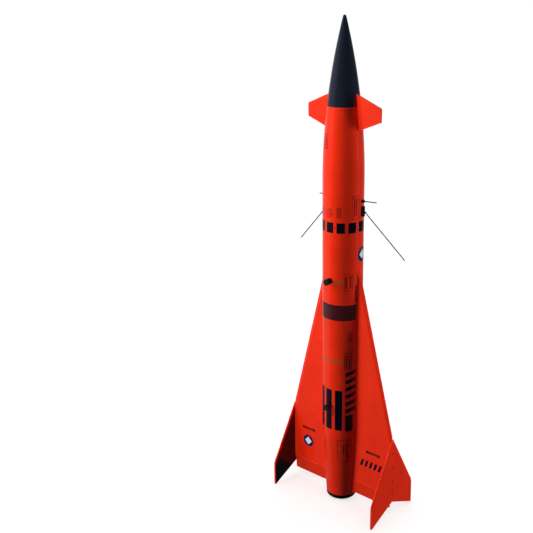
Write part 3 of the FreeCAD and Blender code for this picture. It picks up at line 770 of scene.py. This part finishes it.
def rounded_line(u0, u1, v0, v1, r, w=0.6):
    """A thin line round a box with rounded corners, as four-sided strips."""
    corners = [
        (u1 - r, v0 + r, -90),
        (u1 - r, v1 - r, 0),
        (u0 + r, v1 - r, 90),
        (u0 + r, v0 + r, 180),
    ]
    ring = []
    for cu, cv, start in corners:
        for i in range(6):
            t = math.radians(start + 18 * i)
            ring.append((cu, cv, math.cos(t), math.sin(t)))
    made = []
    for i, (au, av, ac, as_) in enumerate(ring):
        bu, bv, bc, bs = ring[(i + 1) % len(ring)]
        made.append(
            [
                (au + (r - w) * ac, av + (r - w) * as_),
                (au + r * ac, av + r * as_),
                (bu + r * bc, bv + r * bs),
                (bu + (r - w) * bc, bv + (r - w) * bs),
            ]
        )
    return made


def diamond(u, v, r):
    return [(u + r * c, v + r * s) for c, s in ((1, 0), (0, 1), (-1, 0), (0, -1))]


def mark_bands():
    """The windows, bands, lines, stripes and slanted bars on the body."""
    windows = []
    for i in range(WINDOWS):
        centre = WINDOW_START + 360 / WINDOWS * i
        low, high = arc(centre - WINDOW_HALF), arc(centre + WINDOW_HALF)
        windows.append(rect(low, high, 437.8, 453.1))
    decal("marking_windows", windows, on_body, "ink_black", "airframe")

    band = [rect(arc(-180), arc(180), 305.1, 329.2)]
    decal("marking_band", band, on_body, "ink_maroon", "airframe")

    for word, z, low, high in (("upper", 364.5, 67, 401.7), ("lower", 240.0, 66.9, 403.8)):
        line = [rect(arc(low), arc(high), z - 1.05, z + 1.05)]
        decal("marking_line_" + word, line, on_body, "ink_green", "airframe")

    stripes = [rect(arc(c - 10.7), arc(c + 10.7), 126, 192.5) for c in (-34, -3.4, 28)]
    stripes.append(rect(arc(48), arc(72), 124.5, 151.4))
    stripes.append(rect(arc(86.8), arc(88.2), 128, 153))
    decal("marking_stripes", stripes, on_body, "ink_black", "airframe")

    bars = hatch(arc(48), arc(84.5), 155, 227.6, 6, "v")
    decal("marking_hatch", bars, on_body, "ink_black", "airframe")


def mark_stencils():
    """The small outlined boxes with rows of dashes, on the body tube."""
    boxes = outline(arc(61.8), arc(86.1), 458, 491.5, 0.7, 2.0, 0.7)
    boxes += dashes("v", 462, 488, arc(70.5), 1.8, 11)
    boxes += dashes("v", 463, 487, arc(77), 1.8, 12)
    boxes += outline(arc(20.3), arc(31.7), 460.5, 475, 0.6)
    boxes += dashes("v", 462, 473.6, arc(23.8), 1.1, 13, 0.9, 0.4)
    boxes += dashes("v", 462, 473.6, arc(28.4), 1.1, 14, 0.9, 0.4)
    boxes += rounded_line(arc(-11.4), arc(6.4), 460.4, 472.4, 2.0)
    boxes += circle_line(arc(-1.5), 464.6, 2.2, 0.7)
    boxes += dashes("v", 467.5, 471.4, arc(-2.5), 1.4, 15, 0.8, 0.4)
    boxes += outline(arc(-50), arc(-25.7), 460, 472, 0.6, 1.4, 0.6)
    boxes += dashes("u", arc(-47), arc(-29), 468.8, 1.2, 16)
    boxes += dashes("u", arc(-47), arc(-31), 465.2, 1.2, 17)
    boxes += outline(arc(41.7), arc(67), 351.3, 377.8, 0.7, 1.6, 0.6)
    boxes += dashes("v", 355, 374, arc(47.5), 2.4, 18, 1.2, 0.5)
    boxes += dashes("v", 356, 371, arc(60), 2.0, 19, 1.2, 0.6)
    boxes += circle_line(arc(59), 373, 2.0, 0.6)
    boxes += outline(arc(53.5), arc(65.9), 271.6, 286.2, 0.6)
    boxes += dashes("v", 273.5, 284, arc(59.6), 1.8, 20, 0.9, 0.5)
    boxes += outline(arc(43.8), arc(66.9), 227.8, 254, 0.7)
    boxes += dashes("v", 231, 250, arc(50), 2.2, 21, 1.1, 0.5)
    boxes += dashes("v", 231, 250, arc(59.5), 2.2, 22, 1.1, 0.5)
    boxes += dashes("v", 444, 447.5, arc(15), 1.2, 23, 0.8, 0.6)
    boxes += dashes("v", 441, 447.5, arc(80.5), 1.2, 24, 0.8, 0.6)
    boxes += dashes("v", 150, 167, arc(11.8), 1.5, 25, 0.9, 0.6)
    boxes += dashes("v", 128, 152, arc(80.5), 1.2, 26, 1.1, 0.5)
    boxes += circle_line(arc(78.7), 118, 3.2, 0.6)
    decal("marking_stencils", boxes, on_body, "ink_stencil", "airframe", steps=(0.8, 12))

    name_row = dashes("v", 333.6, 358.2, arc(78.2), 3.6, 31, 1.7, 0.8)
    decal("marking_name_row", name_row, on_body, "ink_black", "airframe")


def mark_tail_and_nose():
    tail = rounded_line(arc(24.5), arc(70.7), 71.5, 109.7, 4.0, 0.6)
    tail += dashes("v", 84, 101, arc(44), 2.4, 41, 1.3, 0.6)
    tail += dashes("v", 79, 104, arc(54), 2.4, 42, 1.3, 0.6)
    tail += dashes("v", 76, 106, arc(62), 0.9, 43, 0.8, 0.9)
    tail += circle_line(arc(71), 45, 4.2, 0.6)
    tail += [rect(arc(92) - 0.3, arc(92) + 0.3, 62.6, 95.6)]
    decal("marking_tail_stencils", tail, on_body, "ink_stencil", "airframe", steps=(0.8, 12))
    dots = [disc(arc(92.6), 95.6, 1.1, 16), disc(arc(85.7), 62.6, 1.1, 16)]
    decal("marking_tail_dots", dots, on_body, "ink_black", "airframe")

    nose = outline(arc(-32), arc(-13), 557, 577, 0.9)
    nose += dashes("v", 560, 574, arc(-22.5), 3.4, 51, 1.6, 0.6)
    decal("marking_nose_stencil", nose, on_body, "ink_black", "nose", steps=(0.8, 3))
    line = [rect(arc(-180), arc(180), 610.6, 611.1)]
    decal("marking_nose_line", line, on_body, "ink_faint", "nose")


def mark_roundels_and_wings():
    """A disc with a diamond on each side of the body, and the markings on the wings."""
    degrees, height = ROUNDEL_BODY
    for word, side in (("left", -1), ("right", 1)):
        centre = side * arc(degrees)
        ring = [disc(centre, height, 11)]
        decal("marking_roundel_body_" + word, ring, on_body, "ink_blue", "airframe")
        point = [diamond(centre, height, 7.6)]
        name = "marking_diamond_body_" + word
        decal(name, point, on_body, "ink_white", "airframe", 2 * LIFT)

    across, height = ROUNDEL_WING
    flat = (0, 0)
    for word, face in (("front", -1), ("back", 1)):
        place = on_wing(face)
        ring = [disc(face * across, height, 10)]
        decal("marking_roundel_wing_" + word, ring, place, "ink_blue", "airframe", steps=flat)
        point = [diamond(face * across, height, 7)]
        name = "marking_diamond_wing_" + word
        decal(name, point, place, "ink_white", "airframe", 2 * LIFT, flat)
        words = dashes("u", -78, -52.5, 92, 4.4, 61, 2.6, 1.0)
        words += dashes("u", 49, 75.5, 92.5, 4.4, 62, 2.6, 1.0)
        words += hatch(38, 88, 66, 77.5, 6, "u")
        words = [[(-face * u, v) for u, v in polygon] for polygon in words]
        decal("marking_wing_words_" + word, words, place, "ink_black", "airframe", steps=flat)


# ---------------------------------------------------------------- parachute
ROLL_PITCH = 0.0023
ROLL_CORE = 0.0035
ROLL_MARGIN = 0.0012
CLOTH_THICK = 0.0013
HEM_MARGIN = 0.0016
ROWS_PER_TURN = 44
ROWS_ACROSS = 30
NOISE_START = Vector((3.1, 7.7, 1.9))


def cloth_point(angle, r, length, v, outer):
    """Where the wrinkled roll is at a turn angle, radius and height share v, less z."""
    edge = abs(v) ** 6
    wave = noise.noise(Vector((length * 28, v * 2.2, 0)) + NOISE_START)
    ripple = noise.noise(Vector((length * 95, v * 1.1, 4)) + NOISE_START)
    side = Vector((math.cos(angle) * 1.5, math.sin(angle) * 1.5, v * 2.6))
    crush = noise.noise(side + NOISE_START) + 0.4 * noise.noise(side * 2.7 + NOISE_START)
    pull = 1 - 0.10 * edge * (r / outer) ** 2
    rr = (r * (1 + 0.055 * crush) + 0.0004 * wave + 0.0003 * ripple) * pull
    rise = edge * 0.0011 * wave * (1 if v > 0 else -1)
    return rr * math.cos(angle), rr * math.sin(angle), rise


def make_parachute():
    """The folded canopy rolled into a spiral bundle, in place of its plain solid."""
    low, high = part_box("parachute_pack")
    centre_z = (low.z + high.z) / 2
    half = (high.z - low.z) / 2
    outer = high.x
    turns = (outer - ROLL_MARGIN - ROLL_CORE) / ROLL_PITCH
    around = int(turns * ROWS_PER_TURN)
    mesh = bmesh.new()
    uv = mesh.loops.layers.uv.new("cloth")
    rows = []
    length = 0.0
    last = None
    for i in range(around + 1):
        t = i / around * turns
        r = ROLL_CORE + ROLL_PITCH * t
        angle = 2 * math.pi * t
        here = Vector((r * math.cos(angle), r * math.sin(angle), 0))
        if last is not None:
            length += (here - last).length
        last = here
        row = []
        for j in range(ROWS_ACROSS + 1):
            v = j / ROWS_ACROSS * 2 - 1
            x, y, rise = cloth_point(angle, r, length, v, outer)
            z = centre_z + v * (half - HEM_MARGIN) + rise
            row.append((Vector((x, y, z)), length, (v + 1) * half))
        rows.append(row)
    grid = [[mesh.verts.new(p) for p, _, _ in row] for row in rows]
    for i in range(around):
        for j in range(ROWS_ACROSS):
            spots = ((i, j), (i + 1, j), (i + 1, j + 1), (i, j + 1))
            face = mesh.faces.new([grid[a][b] for a, b in spots])
            face.smooth = True
            for loop, (a, b) in zip(face.loops, spots):
                loop[uv].uv = rows[a][b][1:]
    data = bpy.data.meshes.new("parachute_bundle")
    mesh.to_mesh(data)
    mesh.free()
    bundle = bpy.data.objects.new("parachute_bundle", data)
    bpy.context.collection.objects.link(bundle)
    data.materials.append(LOOKS["nylon"].material)
    solid = bundle.modifiers.new("thickness", "SOLIDIFY")
    solid.thickness = CLOTH_THICK
    solid.offset = 0
    soft = bundle.modifiers.new("round", "SUBSURF")
    soft.levels = soft.render_levels = 1
    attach(bundle, "parachute")
    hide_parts("parachute_pack")


# ---------------------------------------------------------------- the whole scene
def make_floor():
    mesh = bpy.data.meshes.new("floor")
    corners = [(-1, -1), (1, -1), (1, 1), (-1, 1)]
    points = [(x * FLOOR_REACH, y * FLOOR_REACH, 0) for x, y in corners]
    mesh.from_pydata(points, [], [(0, 1, 2, 3)])
    floor = bpy.data.objects.new("floor", mesh)
    bpy.context.collection.objects.link(floor)
    mesh.materials.append(LOOKS["floor"].material)
    floor.visible_diffuse = False
    floor.visible_glossy = False
    return floor


make_camera()
make_world()
make_lights(make_floor())
dress_nodes()
mark_bands()
mark_stencils()
mark_tail_and_nose()
mark_roundels_and_wings()
make_parachute()
bpy.context.scene.view_settings.view_transform = "Standard"
